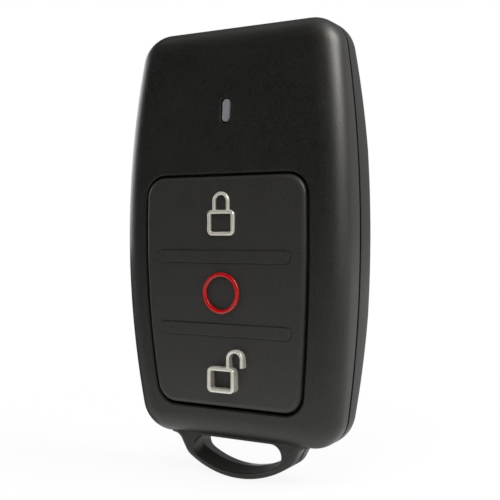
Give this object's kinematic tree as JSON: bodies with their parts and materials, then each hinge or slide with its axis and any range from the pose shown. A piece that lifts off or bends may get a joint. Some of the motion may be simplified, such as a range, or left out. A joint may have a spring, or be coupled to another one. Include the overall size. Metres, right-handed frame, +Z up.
{
  "type": "alarm key fob",
  "caption": "Hand-held alarm remote: crowned barrel housing in two shells with a key-ring lug, a rubber pad of press keys with padlock and ring icons, and a lamp window",
  "frame": {"origin": "middle of the whole fob's box", "axes": "+X to the right seen from the front, +Y to the back, +Z up with the key-ring lug at the bottom"},
  "size_m": [0.038, 0.0138, 0.069],
  "materials": {
    "shell": "fine matte grain",
    "pad": "fine matte grain",
    "icon": "satin, bevelled edges",
    "ring": "glossy",
    "lamp_window": "milky, glossy",
    "board": "satin solder mask",
    "switch_body": "moulded",
    "plunger": "moulded",
    "lamp": "clear resin",
    "chip": "moulded",
    "component": "ceramic",
    "metal": "plated"
  },
  "bodies": {
    "housing": {"front_shell": "shell", "rear_shell": "shell", "key_mat": "pad", "light_pipe": "lamp_window", "circuit_board": "board", "lock_switch": "switch_body", "panic_switch": "switch_body", "unlock_switch": "switch_body", "status_led": "lamp", "controller_chip": "chip", "radio_chip": "chip", "crystal": "metal", "chip_components": "component", "battery": "metal", "battery_plus_clip": "metal", "battery_minus_contact": "metal", "housing_screws": "metal"},
    "lock_button": {"lock_key": "pad", "lock_icon": "icon", "lock_stem": "plunger"},
    "panic_button": {"panic_key": "pad", "panic_ring": "ring", "panic_stem": "plunger"},
    "unlock_button": {"unlock_key": "pad", "unlock_icon": "icon", "unlock_stem": "plunger"}
  },
  "joints": [
    {"name": "lock_press", "type": "slide", "parent": "housing", "child": "lock_button", "axis": [0, 1, 0], "range_m": [0, 0.00035], "stiffness_N_per_m": 1500},
    {"name": "panic_press", "type": "slide", "parent": "housing", "child": "panic_button", "axis": [0, 1, 0], "range_m": [0, 0.00035], "stiffness_N_per_m": 1500},
    {"name": "unlock_press", "type": "slide", "parent": "housing", "child": "unlock_button", "axis": [0, 1, 0], "range_m": [0, 0.00035], "stiffness_N_per_m": 1500}
  ]
}
